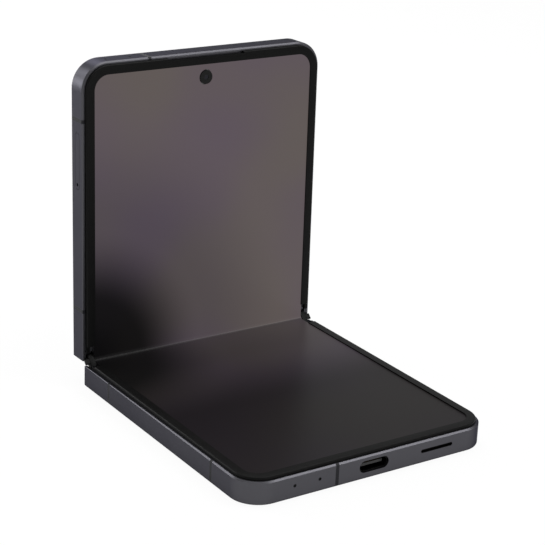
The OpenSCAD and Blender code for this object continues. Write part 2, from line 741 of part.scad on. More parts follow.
// Directions of a tooth of each small gear with the phone opened flat. Each gear has a gap where the
// one before it in the train has a tooth.
pinion_lower_at = -mesh_angle + gear_step / 2;
idler_lower_at = 180 - pinion_lower_at + gear_step / 2;
idler_upper_at = 180 - idler_lower_at + gear_step / 2;
pinion_upper_at = 180 - idler_upper_at + gear_step / 2;
// First tooth and number of teeth of each sector. The lower one has a tooth where it meets its
// pinion, the upper one a gap.
sector_lower = [mesh_angle, 6];
sector_upper = [mesh_angle + 180 / sector_teeth, 7];

// Bays and journal bores for the gears of one mechanism
module gear_bays() {
    slack = 2 * over;
    along_x(module_from + lower_gear_zone[0], module_from + lower_gear_zone[1])
        translate([-axis_out, 0]) circle(sector_bay_r);
    along_x(module_from + upper_gear_zone[0], module_from + upper_gear_zone[1])
        translate([axis_out, 0]) circle(sector_bay_r);
    for (gear = [[-pinion_u, lower_gear_zone[0], shared_gear_zone[1]], [-idler_u, shared_gear_zone[0], shared_gear_zone[1]],
            [idler_u, shared_gear_zone[0], shared_gear_zone[1]], [pinion_u, shared_gear_zone[0], upper_gear_zone[1]]]) {
        along_x(module_from + gear[1], module_from + gear[2]) translate([gear[0], gear_w]) {
            circle(gear_bay_r);
            translate([-gear_bay_r, 0]) square([2 * gear_bay_r, slack - gear_w]);
        }
        along_x(module_from + gear[1] - gear_wall, module_from + gear[2] + gear_wall)
            translate([gear[0], gear_w]) circle(journal_r + journal_gap);
    }
}

// ---- Hinge ----

module hinge_arms(rail_at, sector_zone, teeth) for (side = [-1, 1]) mirror([side > 0 ? 0 : 1, 0, 0]) difference() {
    union() {
        block(module_from, module_from + module_len, leaf_from, leaf_to, leaf_z, leaf_z + leaf_t);
        along_x(module_from + rail_at, module_from + rail_at + rail_len) translate([axis_out, axis_z])
            arc_band(rail_r[0], rail_r[1], rail_span[0], rail_span[1]);
        along_x(module_from + sector_zone[0] + gear_side_gap, module_from + sector_zone[1] - gear_side_gap)
            translate([axis_out, axis_z]) sector_shape(teeth);
    }
    for (x = arm_screw_x) translate([x, arm_screw_y, 0]) {
        translate([0, 0, leaf_z - over]) cylinder(h = leaf_t + 2 * over, r = arm_screw_r);
        translate([0, 0, leaf_z + leaf_t / 2]) cylinder(h = leaf_t, r = arm_screw_head);
    }
}

module arm_screws() for (side = [-1, 1], x = arm_screw_x) translate([side * x, arm_screw_y, 0]) {
    translate([0, 0, bay_top]) cylinder(h = leaf_z + leaf_t - bay_top, r = arm_screw_r);
    translate([0, 0, leaf_z + leaf_t / 2]) cylinder(h = leaf_t / 2, r = arm_screw_head);
}

module hinge_arms_lower() color(STEEL_COLOR) on_lower()
    hinge_arms(rail_lower_at, lower_gear_zone, sector_lower);

module hinge_arms_upper() color(STEEL_COLOR) on_upper()
    hinge_arms(rail_upper_at, upper_gear_zone, sector_upper);

module arm_screws_lower() color([0.7, 0.7, 0.7]) on_lower() arm_screws();

module arm_screws_upper() color([0.7, 0.7, 0.7]) on_upper() arm_screws();

spine_top = -1.05;
spine_end_wall = 0.8;

// Section of the spine, or of what fills it, shrunk by a wall
module spine_section(wall, top) intersection() {
    for (side = [-1, 1]) translate([side * axis_out, 0]) circle(spine_r - wall);
    translate([-spine_r - axis_out, -spine_depth + wall]) square([2 * spine_r + 2 * axis_out, spine_depth - wall + top]);
}

module hinge_spine() color(FRAME_COLOR) on_spine() difference() {
    along_x(-spine_half, spine_half) spine_section(0, spine_top);
    along_x(-spine_half + spine_end_wall, spine_half - spine_end_wall) spine_section(spine_wall, over);
}

module hinge_housings() color(STEEL_COLOR) on_spine() for (side = [-1, 1]) mirror([side > 0 ? 0 : 1, 0, 0]) difference() {
    along_x(module_from, module_from + module_len) union() {
        spine_section(spine_wall, housing_top[2]);
        translate([-housing_top[0], housing_top[2] - over]) square([2 * housing_top[0], housing_top[1] - housing_top[2] + over]);
    }
    for (rail = [[-1, rail_lower_at], [1, rail_upper_at]])
        along_x(module_from + rail[1] - rail_gap, module_from + rail[1] + rail_len + rail_gap)
            translate([rail[0] * axis_out, 0]) difference() {
                circle(rail_r[1] + rail_gap);
                circle(rail_r[0] - rail_gap);
            }
    gear_bays();
}

// A cap at each end of the fold, on an arm that stands on the spine's end wall
module hinge_caps() color([0.3, 0.3, 0.31]) on_spine() for (side = [-1, 1]) mirror([side > 0 ? 0 : 1, 0, 0]) {
    block(cap_from, cap_from + cap_len, -cap_half, cap_half, cap_under, cap_top);
    block(spine_half - spine_end_wall, cap_from + cap_stem, -cap_stem, cap_stem, spine_top, cap_arm_top);
    block(cap_from, cap_from + cap_stem, -cap_stem, cap_stem, spine_top, cap_under);
}

frame_lower();
antenna_bands_lower();
back_cover_lower();
bezel_lower();
display_lower();
display_plate_lower();
battery_lower();
board_lower();
usb_socket();
usb_tongue();
loudspeaker();
speaker_mesh();
microphones_lower();
vibration_motor();
charging_coil();
magnets_lower();
hinge_arms_lower();
arm_screws_lower();
flex_tail_lower();
frame_upper();
antenna_bands_upper();
back_cover_upper();
cover_window();
cover_display();
bezel_upper();
display_upper();
display_plate_upper();
battery_upper();
main_board();
front_camera();
earpiece();
camera_rings();
camera_glasses();
camera_modules();
flash_lens();
microphones_upper();
key_switches();
sim_reader();
magnets_upper();
hinge_arms_upper();
arm_screws_upper();
flex_tail_upper();
hinge_spine();
hinge_housings();
hinge_caps();
display_fold();
flex_fold();
pinion_lower();
idler_lower();
idler_upper();
pinion_upper();
volume_key();
power_key();
sim_tray();
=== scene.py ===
"""Foldable smartphone, half open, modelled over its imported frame.

The bending display, the bezels, the flexible circuit, the hinge caps, the lenses and the port details
are modelled here, and every other piece of the frame gets its finish. All sizes are in metres, in the
frame's own axes: X along the hinge, Y from the charging socket to the hinge, Z up from the face that the
lower half lies on.
"""
import json
import math

import bmesh
import bpy
from mathutils import Matrix, Vector


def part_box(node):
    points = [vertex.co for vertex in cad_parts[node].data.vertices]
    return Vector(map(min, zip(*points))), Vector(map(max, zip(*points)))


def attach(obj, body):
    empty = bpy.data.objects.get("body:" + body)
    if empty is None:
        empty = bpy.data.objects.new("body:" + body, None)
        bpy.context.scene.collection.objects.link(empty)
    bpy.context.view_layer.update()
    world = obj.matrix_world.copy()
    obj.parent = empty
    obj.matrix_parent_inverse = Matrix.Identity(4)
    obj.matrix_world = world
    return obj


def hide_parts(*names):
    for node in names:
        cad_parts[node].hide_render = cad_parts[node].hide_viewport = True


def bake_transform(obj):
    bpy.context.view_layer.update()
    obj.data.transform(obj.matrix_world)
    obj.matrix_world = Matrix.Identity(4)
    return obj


bl_info = {
    "name": "Foldable smartphone",
    "version": (1, 0, 0),
    "blender": (4, 5, 0),
    "location": "View3D > Sidebar > Phone",
    "description": "Models a foldable phone's display, bezels, caps, lenses and ports, and its finishes",
    "category": "Add Mesh",
}

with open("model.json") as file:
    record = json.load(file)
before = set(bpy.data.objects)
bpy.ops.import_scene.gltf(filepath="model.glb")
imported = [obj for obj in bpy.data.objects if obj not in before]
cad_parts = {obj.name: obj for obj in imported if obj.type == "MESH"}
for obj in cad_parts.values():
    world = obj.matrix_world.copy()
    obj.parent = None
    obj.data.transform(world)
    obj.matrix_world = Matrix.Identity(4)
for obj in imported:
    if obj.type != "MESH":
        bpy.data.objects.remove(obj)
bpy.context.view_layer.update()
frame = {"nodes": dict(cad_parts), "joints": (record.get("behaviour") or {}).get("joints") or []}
NODES = frame["nodes"]

# ---- Places worked out from the frame ----

joints = {joint["name"]: joint for joint in frame["joints"]}
lower_axis = Vector(joints["fold_lower"]["pos_m"])
upper_axis = Vector(joints["fold_upper"]["pos_m"])
sheet_low, sheet_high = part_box("display_lower")
frame_low, frame_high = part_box("frame_lower")

HALF_WIDTH = frame_high.x
# The fold of the display starts at this Y on the lower half, level with its flat part
FOLD_START_Y = sheet_high.y
DISPLAY_TOP = sheet_high.z
DISPLAY_THICK = sheet_high.z - sheet_low.z
DISPLAY_MID = sheet_high.z - DISPLAY_THICK / 2
# Angle of each half from the hinge's own plane in the pose of the photograph
LEAN = math.atan2(upper_axis.z - lower_axis.z, upper_axis.y - lower_axis.y)
AXIS_OUT = lower_axis.y - FOLD_START_Y

# As packed: the bezel's outer corners, its lower end beside the hinge and the slot over the earpiece
BEZEL_CORNER = 0.00675
BEZEL_STEP_LENGTH = 0.0017
BEZEL_STEP_DEPTH = 0.0004
EARPIECE_SLOT_WIDTH = 0.0237
EARPIECE_SLOT_DEPTH = 0.0005
# As packed: the hole for the front camera, half the width of a microphone and the circuit's thickness
CAMERA_HOLE_RADIUS = 0.00215
MICROPHONE_HALF = 0.0016
FLEX_THICK = 0.00012

# Hinge caps, in the hinge's own section: Y across both axes, Z from them towards the display
CAP_PAST_PACKED = 0.00004
CAP_SPINE_GAP = 0.00025
CAP_TOP = 0.0004
CAP_TOP_ROUND = 0.0003
CAP_END_ROUND = 0.0002
CAP_ARM_IN_SPINE = 0.0008
CAP_ARM_IN_CAP = 0.0001
CAP_ARM_HALF = 0.0005
CAP_ARM_LOW, CAP_ARM_HIGH = -0.00105, -0.0006
CAP_LIP_IN_CAP = 0.0003
CAP_LIP_HALF = 0.0003
CAP_LIP_FROM_SIDE = 0.0001

# Port details: how far they stay behind the metal's face, and their own sizes
# The liner's black, just behind the metal's face, is painted shade on the loudspeaker slot's walls
LINER_BEHIND, LINER_WALL = 0.00003, 0.00008
# The gaskets' black, just behind the metal's face, is painted shade inside the microphone holes
GASKET_BEHIND, GASKET_DEPTH = 0.00002, 0.0003
GASKET_RADIUS, PINHOLE_RADIUS, PINHOLE_DEPTH = 0.00044, 0.00024, 0.00012
GRILLE_COLUMNS, GRILLE_WEB_SHARE, GRILLE_HOLE_DEPTH = 24, 0.18, 0.00025
CONTACT_HEIGHT, CONTACT_LENGTH, CONTACT_MARGIN = 0.00004, 0.0028, 0.0004
CONTACT_HALF_SHARE = 0.28

# Lens details: rings are pairs of inset width and depth
FRONT_COVER_DEPTH = 0.0002
FRONT_LENS_STEP = 0.00003
FRONT_LENS_RING = (0.00012, 0.00006)
REAR_LENS_DEPTH = 0.0005
REAR_LENS_RINGS = ((0.0012, 0.0), (0.00005, 0.0001), (0.0007, 0.0), (0.0004, 0.00015))
REAR_PUPIL_INSET, REAR_PUPIL_RISE = 0.0005, 0.00008
# The box of a leaning glass is taller than the glass by this much times its lean
REAR_GLASS_ALLOWANCE = 0.0001

# How far a cutter reaches past what it cuts
PAST = 0.001
# How near to a face's height or side a vertex counts as on it
ON_FACE = 1e-6
# Share of a half thickness that a full rounding takes, so that its two edges don't meet
FULL_ROUND = 0.98
# How nearly a run or a face has to point along a direction to count as doing so
ALONG = 0.99


def to_upper_half():
    """Matrix that mirrors a piece of the lower half to its place on the upper half."""
    middle = (lower_axis + upper_axis) / 2
    normal = (upper_axis - lower_axis).normalized()
    turn = Matrix.Identity(4)
    for row in range(3):
        for column in range(3):
            turn[row][column] -= 2 * normal[row] * normal[column]
    return Matrix.Translation(middle) @ turn @ Matrix.Translation(-middle)


# ---- Modelling helpers ----


def deselect_all():
    """Leaves nothing selected, because an operator acts on all that is."""
    if bpy.context.mode != "OBJECT":
        bpy.ops.object.mode_set(mode="OBJECT")
    bpy.ops.object.select_all(action="DESELECT")


def take(piece):
    """Selects one piece alone and makes it active."""
    deselect_all()
    piece.select_set(True)
    bpy.context.view_layer.objects.active = piece


def name_new(name):
    """Names the primitive that was just added, and its mesh."""
    piece = bpy.context.object
    piece.name = name
    piece.data.name = name
    return piece


def add_block(name, low, high):
    """A box between two corners, with its place in its mesh."""
    deselect_all()
    low, high = Vector(low), Vector(high)
    bpy.ops.mesh.primitive_cube_add(size=1, location=(low + high) / 2)
    piece = name_new(name)
    piece.scale = high - low
    bpy.ops.object.transform_apply(location=True, rotation=True, scale=True)
    return piece


def add_disc(name, centre, radius, depth, axis, sides=64):
    """A round plate about an axis, with its place in its mesh."""
    deselect_all()
    turn = Vector(axis).to_track_quat("Z", "Y").to_euler()
    bpy.ops.mesh.primitive_cylinder_add(
        vertices=sides, radius=radius, depth=depth, location=centre, rotation=turn
    )
    piece = name_new(name)
    bpy.ops.object.transform_apply(location=True, rotation=True, scale=True)
    return piece


def choose(piece, faces=None, edges=None):
    """Selects the faces or edges of a piece that a test picks, and stays in edit mode."""
    take(piece)
    bpy.ops.object.mode_set(mode="EDIT")
    bpy.ops.mesh.select_mode(type="FACE" if faces else "EDGE")
    bpy.ops.mesh.select_all(action="DESELECT")
    mesh = bmesh.from_edit_mesh(piece.data)
    if faces:
        for face in mesh.faces:
            face.select_set(faces(face))
    if edges:
        for edge in mesh.edges:
            edge.select_set(edges(edge))
    bmesh.update_edit_mesh(piece.data)


def leave_edit():
    bpy.ops.object.mode_set(mode="OBJECT")


def bevel_edges(piece, test, width, segments):
    """Rounds the edges that a test picks."""
    choose(piece, edges=test)
    bpy.ops.mesh.bevel(offset=width, segments=segments, profile=0.5, affect="EDGES")
    leave_edit()


def cut_across(piece, places, normal):
    """Cuts a piece right through at each place, square to a direction."""
    take(piece)
    bpy.ops.object.mode_set(mode="EDIT")
    for place in places:
        bpy.ops.mesh.select_all(action="SELECT")
        bpy.ops.mesh.bisect(plane_co=place, plane_no=normal)
    leave_edit()


def smooth(piece, angle=30):
    take(piece)
    bpy.ops.object.shade_smooth_by_angle(angle=math.radians(angle))


def edge_is_along(direction, test):
    """An edge test: the edge runs along a direction and its middle passes another test."""
    axis = Vector(direction)

    def check(edge):
        run = (edge.verts[1].co - edge.verts[0].co).normalized()
        middle = (edge.verts[1].co + edge.verts[0].co) / 2
        return abs(run.dot(axis)) > ALONG and test(middle)

    return check


def cut_away(piece, cutter):
    """Takes one piece's shape out of another and throws the cutter away."""
    take(piece)
    cut = piece.modifiers.new("cut", "BOOLEAN")
    cut.operation = "DIFFERENCE"
    cut.solver = "EXACT"
    cut.object = cutter
    bpy.ops.object.modifier_apply(modifier=cut.name)
    bpy.data.objects.remove(cutter, do_unlink=True)


def plain_copy(piece, name):
    """A copy of a piece in the same place, with its own mesh."""
    copy = piece.copy()
    copy.data = piece.data.copy()
    copy.name = name
    copy.data.name = name
    bpy.context.scene.collection.objects.link(copy)
    return copy


def mirror_mesh(piece, matrix):
    """Moves a mesh by a matrix that mirrors it, and turns its faces back outwards."""
    piece.data.transform(matrix)
    piece.data.flip_normals()


def mirrored_copy(piece, name):
    """A copy of a lower half's piece on the upper half."""
    copy = plain_copy(piece, name)
    mirror_mesh(copy, to_upper_half())
    return copy


def dress(piece, material):
    """Gives a piece one material alone."""
    piece.data.materials.clear()
    piece.data.materials.append(material)


# ---- Materials ----


def new_material(name, **sockets):
    """A shader with its plain values set on its own sockets."""
    material = bpy.data.materials.get(name)
    if material:
        return material
    material = bpy.data.materials.new(name)
    material.use_nodes = True
    shader = material.node_tree.nodes["Principled BSDF"]
    for socket, value in sockets.items():
        shader.inputs[socket.replace("_", " ")].default_value = value
    return material


def shader_of(material):
    return material.node_tree.nodes["Principled BSDF"]


def add_node(material, kind, place, **values):
    """Adds a node, sets its properties and its inputs by name."""
    node = material.node_tree.nodes.new(kind)
    node.location = place
    for name, value in values.items():
        if hasattr(node, name):
            setattr(node, name, value)
        else:
            node.inputs[name.replace("_", " ")].default_value = value
    return node


def link(material, source, output, target, socket):
    material.node_tree.links.new(source.outputs[output], target.inputs[socket])


def grain(material, scale, strength, depth):
    """A fine bump from noise on Object coordinates."""
    shader = shader_of(material)
    if shader.inputs["Normal"].is_linked:
        return material
    coordinates = add_node(material, "ShaderNodeTexCoord", (-900, -300))
    noise = add_node(material, "ShaderNodeTexNoise", (-700, -300), Scale=scale, Detail=3.0)
    bump = add_node(material, "ShaderNodeBump", (-300, -300), Strength=strength, Distance=depth)
    link(material, coordinates, "Object", noise, "Vector")
    link(material, noise, "Fac", bump, "Height")
    link(material, bump, "Normal", shader, "Normal")
    return material


def mottle(material, dark, light, scale, low_rough, high_rough):
    """Lets colour and roughness wander gently over the surface."""
    shader = shader_of(material)
    if shader.inputs["Base Color"].is_linked:
        return material
    coordinates = add_node(material, "ShaderNodeTexCoord", (-1100, 200))
    noise = add_node(material, "ShaderNodeTexNoise", (-900, 200), Scale=scale, Detail=4.0)
    colour = add_node(material, "ShaderNodeValToRGB", (-650, 300))
    colour.color_ramp.elements[0].color = dark
    colour.color_ramp.elements[1].color = light
    rough = add_node(material, "ShaderNodeMapRange", (-650, 0), To_Min=low_rough, To_Max=high_rough)
    link(material, coordinates, "Object", noise, "Vector")
    link(material, noise, "Fac", colour, "Fac")
    link(material, noise, "Fac", rough, "Value")
    link(material, colour, "Color", shader, "Base Color")
    link(material, rough, "Result", shader, "Roughness")
    return material


def shade(value):
    """A neutral colour as four numbers."""
    return (value, value, value, 1)


def anodised_metal():
    colours = bpy.context.scene.phone_colours
    material = new_material("anodised_graphite", Metallic=1.0, Specular_Tint=(0.35, 0.35, 0.38, 1))
    mottle(material, colours.metal_dark, colours.metal_light, 60, 0.34, 0.40)
    return grain(material, 9000, 0.05, 0.00002)


def spine_metal():
    material = new_material("spine_metal", Metallic=1.0, Specular_Tint=(0.3, 0.3, 0.33, 1))
    mottle(material, (0.016, 0.016, 0.018, 1), (0.022, 0.022, 0.025, 1), 60, 0.26, 0.32)
    return grain(material, 9000, 0.04, 0.00002)


def antenna_plastic():
    colours = bpy.context.scene.phone_colours
    material = new_material("antenna_band_plastic", Specular_IOR_Level=0.12)
    mottle(material, colours.band_dark, colours.band_light, 200, 0.42, 0.5)
    return grain(material, 6000, 0.05, 0.00002)


def etched_glass():
    colours = bpy.context.scene.phone_colours
    material = new_material(
        "etched_cover_glass", Coat_Weight=0.25, Coat_Roughness=0.25, Specular_IOR_Level=0.5
    )
    mottle(material, colours.glass_dark, colours.glass_light, 25, 0.42, 0.5)
    return grain(material, 12000, 0.06, 0.00001)


def window_glass():
    material = new_material("polished_window_glass", Coat_Weight=1.0, Coat_Roughness=0.02)
    return mottle(material, shade(0.004), shade(0.006), 30, 0.06, 0.1)


def bezel_polymer():
    material = new_material("bezel_polymer", Specular_IOR_Level=0.08)
    mottle(material, shade(0.0020), shade(0.0035), 300, 0.42, 0.52)
    return grain(material, 5000, 0.08, 0.00002)


def brushed_steel():
    material = new_material("stamped_steel", Metallic=1.0)
    mottle(material, shade(0.38), shade(0.5), 90, 0.28, 0.4)
    return grain(material, 3000, 0.08, 0.00002)


def socket_metal():
    material = new_material("dark_socket_metal", Metallic=1.0, Specular_Tint=(0.3, 0.3, 0.3, 1))
    mottle(material, shade(0.012), shade(0.018), 200, 0.35, 0.45)
    return grain(material, 4000, 0.06, 0.00002)


def black_plastic():
    material = new_material("moulded_black_plastic")
    mottle(material, shade(0.008), shade(0.013), 150, 0.4, 0.52)
    return grain(material, 3500, 0.1, 0.00002)


def battery_wrap():
    material = new_material("battery_pouch", Coat_Weight=0.4, Coat_Roughness=0.3)
    mottle(material, shade(0.012), shade(0.02), 40, 0.35, 0.5)
    return grain(material, 900, 0.2, 0.00005)


def solder_mask():
    material = new_material("solder_mask", Coat_Weight=0.3, Coat_Roughness=0.2)
    mottle(material, (0.008, 0.05, 0.03, 1), (0.012, 0.075, 0.05, 1), 400, 0.35, 0.5)
    return grain(material, 2500, 0.15, 0.00003)


def copper_foil():
    material = new_material("copper_foil", Metallic=1.0)
    mottle(material, (0.42, 0.19, 0.08, 1), (0.55, 0.27, 0.12, 1), 120, 0.25, 0.4)
    return grain(material, 1500, 0.1, 0.00002)


def camera_cover():
    material = new_material("front_camera_cover", Specular_IOR_Level=0.15)
    return mottle(material, shade(0.0015), shade(0.003), 200, 0.1, 0.16)


def camera_pupil():
    material = new_material("front_camera_pupil", Specular_IOR_Level=0.14)
    return mottle(material, (0.006, 0.006, 0.009, 1), (0.010, 0.009, 0.014, 1), 700, 0.12, 0.2)


def lens_glass():
    material = new_material("coated_lens_glass", Coat_Weight=1.0, Coat_Roughness=0.02)
    return mottle(material, (0.003, 0.003, 0.006, 1), (0.005, 0.006, 0.010, 1), 120, 0.04, 0.08)


def lens_coating():
    material = new_material("lens_coating", Metallic=0.6, Coat_Weight=1.0, Coat_Roughness=0.02)
    return mottle(material, (0.008, 0.010, 0.024, 1), (0.020, 0.014, 0.034, 1), 500, 0.12, 0.2)


def flash_diffuser():
    material = new_material("flash_diffuser", Subsurface_Weight=0.2)
    mottle(material, (0.55, 0.5, 0.36, 1), (0.7, 0.66, 0.52, 1), 900, 0.25, 0.4)
    return grain(material, 3000, 0.4, 0.00008)


def gold_contact():
    material = new_material("gold_contact", Metallic=1.0)
    return mottle(material, (0.62, 0.4, 0.14, 1), (0.75, 0.52, 0.22, 1), 800, 0.2, 0.32)


def magnet_nickel():
    material = new_material("magnet_nickel", Metallic=1.0)
    return mottle(material, shade(0.42), shade(0.5), 300, 0.2, 0.3)


def srgb(red, green, blue):
    """A colour in the photograph's own values, 0 to 255, as the shader wants it."""
    return tuple(((value / 255 + 0.055) / 1.055) ** 2.4 for value in (red, green, blue)) + (1,)


def fill_ramp(ramp, stops):
    """Sets a colour ramp from pairs of place and colour."""
    band = ramp.color_ramp
    band.interpolation = "EASE"
    band.elements[0].position, band.elements[0].color = stops[0]
    band.elements[1].position, band.elements[1].color = stops[-1]
    for place, colour in stops[1:-1]:
        band.elements.new(place).color = colour


def display_glow_with_painted_light(name, stops, away, hinge_highlight_stops):
    """The dim picture on one half: a plain soft gradient round the left end of the fold. On the upper
    half its dark tones at that end are a painted reflection of the lower half, and on the lower half the
    tones by distance from the hinge are a painted highlight that is brightest there.

    stops are its tones by distance from that end, away is the index of the Object axis that runs
    away from the hinge, and the last argument gives its tones by distance from the hinge.
    """
    material = new_material(
        name, Base_Color=shade(0.0015), Roughness=0.34, Specular_IOR_Level=0.08, Emission_Strength=1.0
    )
    shader = shader_of(material)
    if shader.inputs["Emission Color"].is_linked:
        return material
    left_end = Vector((-HALF_WIDTH, *((lower_axis + upper_axis) / 2).yz))
    coordinates = add_node(material, "ShaderNodeTexCoord", (-1500, 0))

    # Distance from the left end of the fold picks the tone; on the upper half the darkest tones there
    # paint the lower half's reflection
    offset = add_node(material, "ShaderNodeVectorMath", (-1300, 0), operation="SUBTRACT")
    offset.inputs[1].default_value = left_end
    distance = add_node(material, "ShaderNodeVectorMath", (-1100, 100), operation="LENGTH")
    reach = add_node(material, "ShaderNodeMapRange", (-900, 100), From_Max=0.12)
    tones = add_node(material, "ShaderNodeValToRGB", (-700, 100))
    fill_ramp(tones, stops)

    # Distance from the hinge sets a painted highlight, brightest at the hinge and dimmer away from it,
    # and slow noise tints it
    split = add_node(material, "ShaderNodeSeparateXYZ", (-1100, -150))
    height = add_node(material, "ShaderNodeMath", (-950, -150), operation="ABSOLUTE")
    run = add_node(material, "ShaderNodeMapRange", (-800, -150), From_Max=0.08)
    hinge_highlight = add_node(material, "ShaderNodeValToRGB", (-650, -150))
    fill_ramp(hinge_highlight, hinge_highlight_stops)
    clouds = add_node(material, "ShaderNodeTexNoise", (-900, -450), Scale=24.0, Detail=1.0)
    tint = add_node(material, "ShaderNodeValToRGB", (-650, -450))
    fill_ramp(tint, [(0.3, (0.95, 0.86, 1.04, 1)), (0.7, (1.04, 1.02, 0.92, 1))])
    hinge_highlighted = add_node(material, "ShaderNodeMix", (-350, 0), data_type="RGBA", blend_type="MULTIPLY")
    tinted = add_node(material, "ShaderNodeMix", (-200, -100), data_type="RGBA", blend_type="MULTIPLY")
    hinge_highlighted.inputs["Factor"].default_value = 1
    tinted.inputs["Factor"].default_value = 1

    # A colour mix has its colour inputs at 6 and 7 and its colour output at 2
    links = material.node_tree.links
    links.new(coordinates.outputs["Object"], offset.inputs[0])
    links.new(coordinates.outputs["Object"], clouds.inputs["Vector"])
    links.new(offset.outputs["Vector"], distance.inputs[0])
    links.new(offset.outputs["Vector"], split.inputs["Vector"])
    links.new(distance.outputs["Value"], reach.inputs["Value"])
    links.new(reach.outputs["Result"], tones.inputs["Fac"])
    links.new(split.outputs[away], height.inputs[0])
    links.new(height.outputs["Value"], run.inputs["Value"])
    links.new(run.outputs["Result"], hinge_highlight.inputs["Fac"])
    links.new(clouds.outputs["Fac"], tint.inputs["Fac"])
    links.new(tones.outputs["Color"], hinge_highlighted.inputs[6])
    links.new(hinge_highlight.outputs["Color"], hinge_highlighted.inputs[7])
    links.new(hinge_highlighted.outputs[2], tinted.inputs[6])
    links.new(tint.outputs["Color"], tinted.inputs[7])
    links.new(tinted.outputs[2], shader.inputs["Emission Color"])
    return material


def upper_display_glow_with_painted_reflection():
    # Tones from the left end of the fold; the darkest ones there are a painted reflection of the lower
    # half
    tones = [
        (0.0, srgb(3, 3, 4)),
        (0.14, srgb(16, 15, 16)),
        (0.32, srgb(78, 72, 77)),
        (0.58, srgb(92, 85, 87)),
    ]
    # The upper half gets no painted highlight by the hinge
    no_hinge_highlight = [(0.0, shade(1)), (1.0, shade(1))]
    return display_glow_with_painted_light("display_glow_painted_reflection_upper", tones, 2, no_hinge_highlight)


def lower_display_glow_with_painted_highlight():
    tones = [
        (0.0, srgb(3, 3, 4)),
        (0.14, srgb(14, 13, 14)),
        (0.34, srgb(56, 51, 54)),
        (0.62, srgb(67, 62, 65)),
    ]
    # Tones by distance from the hinge: a painted highlight, brightest at the hinge
    hinge_highlight = [(0.0, shade(1)), (0.2, shade(0.85)), (0.55, shade(0.2))]
    return display_glow_with_painted_light("display_glow_painted_highlight_lower", tones, 1, hinge_highlight)


# ---- Sizes and colours that a user would change ----


def colour_property(name, description, default):
    return bpy.props.FloatVectorProperty(
        name=name, description=description, default=default, size=4, min=0, max=1, subtype="COLOR"
    )


class PhoneSizes(bpy.types.PropertyGroup):
    """Sizes of the modelled pieces."""

    fold_steps: bpy.props.IntProperty(
        name="Fold steps", description="Cuts across each half of the fold", default=10, min=4, max=24
    )
    corner_radius: bpy.props.FloatProperty(
        name="Display corner",
        description="Radius of the display's far corners",
        default=0.0044,
        subtype="DISTANCE",
    )
    bezel_lap: bpy.props.FloatProperty(
        name="Bezel lap",
        description="How far the bezel covers the display's edge",
        default=0.0002,
        subtype="DISTANCE",
    )
    bezel_wall: bpy.props.FloatProperty(
        name="Bezel wall",
        description="Width of the bezel's wall beside the display",
        default=0.0009,
        subtype="DISTANCE",
    )
    bezel_round: bpy.props.FloatProperty(
        name="Bezel rounding",
        description="Rounding of the bezel's outer edge",
        default=0.0003,
        subtype="DISTANCE",
    )
    front_cover_radius: bpy.props.FloatProperty(
        name="Front cover",
        description="Radius of the front camera's cover",
        default=0.0019,
        subtype="DISTANCE",
    )
    front_lens_radius: bpy.props.FloatProperty(
        name="Front lens",
        description="Radius of the front camera's lens",
        default=0.0008,
        subtype="DISTANCE",
    )
    port_height: bpy.props.FloatProperty(
        name="Port height",
        description="Middle of the ports above the outer face",
        default=0.00345,
        subtype="DISTANCE",
    )
    cap_radius: bpy.props.FloatProperty(
        name="Cap radius",
        description="Rounding of a hinge cap about its axis",
        default=0.0015,
        subtype="DISTANCE",
    )
    contact_count: bpy.props.IntProperty(
        name="Contacts",
        description="Contacts on one side of the socket's tongue",
        default=12,
        min=4,
        max=12,
    )


class PhoneColours(bpy.types.PropertyGroup):
    """Colours of the outside, each with the darkest and lightest shade that it wanders between."""

    metal_dark: colour_property("Metal, dark", "Frames, keys and tray", (0.070, 0.069, 0.077, 1))
    metal_light: colour_property("Metal, light", "Frames, keys and tray", (0.084, 0.083, 0.092, 1))
    band_dark: colour_property("Bands, dark", "Antenna bands", (0.010, 0.010, 0.012, 1))
    band_light: colour_property("Bands, light", "Antenna bands", (0.014, 0.014, 0.017, 1))
    glass_dark: colour_property("Glass, dark", "Rear glass", (0.028, 0.028, 0.033, 1))
    glass_light: colour_property("Glass, light", "Rear glass", (0.034, 0.034, 0.040, 1))


class PhoneStage(bpy.types.PropertyGroup):
    """Where the camera stands and what it looks at."""

    azimuth: bpy.props.FloatProperty(
        name="Azimuth",
        description="Camera's angle round the phone",
        default=math.radians(-34.292),
        subtype="ANGLE",
    )
    elevation: bpy.props.FloatProperty(
        name="Elevation",
        description="Camera's angle over the floor",
        default=math.radians(19.999),
        subtype="ANGLE",
    )
    roll: bpy.props.FloatProperty(
        name="Roll",
        description="Camera's turn about its own line of sight",
        default=math.radians(2.518),
        subtype="ANGLE",
    )
    distance: bpy.props.FloatProperty(
        name="Distance",
        description="From the camera to the point it looks at",
        default=0.45554,
        subtype="DISTANCE",
    )
    lens: bpy.props.FloatProperty(
        name="Lens", description="Focal length in millimetres", default=111.18, subtype="DISTANCE_CAMERA"
    )
    aim: bpy.props.FloatVectorProperty(
        name="Aim",
        description="Point in the middle of the picture",
        default=(0.0055, 0.015082, 0.03489),
        subtype="XYZ_LENGTH",
    )


# ---- Pieces ----


def fold_radius(mid_height):
    """Radius of the fold in the middle of a sheet at this height."""
    return AXIS_OUT / math.tan(LEAN / 2) + lower_axis.z - mid_height


def bend_over_hinge(piece, mid_height):
    """Bends what reaches past the start of the fold round the hinge, up to the middle of the fold."""
    radius = fold_radius(mid_height)
    for vertex in piece.data.vertices:
        past = vertex.co.y - FOLD_START_Y
        if past > 0:
            angle = past / radius
            reach = radius - (vertex.co.z - mid_height)
            vertex.co.y = FOLD_START_Y + reach * math.sin(angle)
            vertex.co.z = mid_height + radius - reach * math.cos(angle)


def fold_middle(mid_height):
    """Where a sheet at this height ends in the middle of the fold, before it is bent."""
    return FOLD_START_Y + fold_radius(mid_height) * LEAN


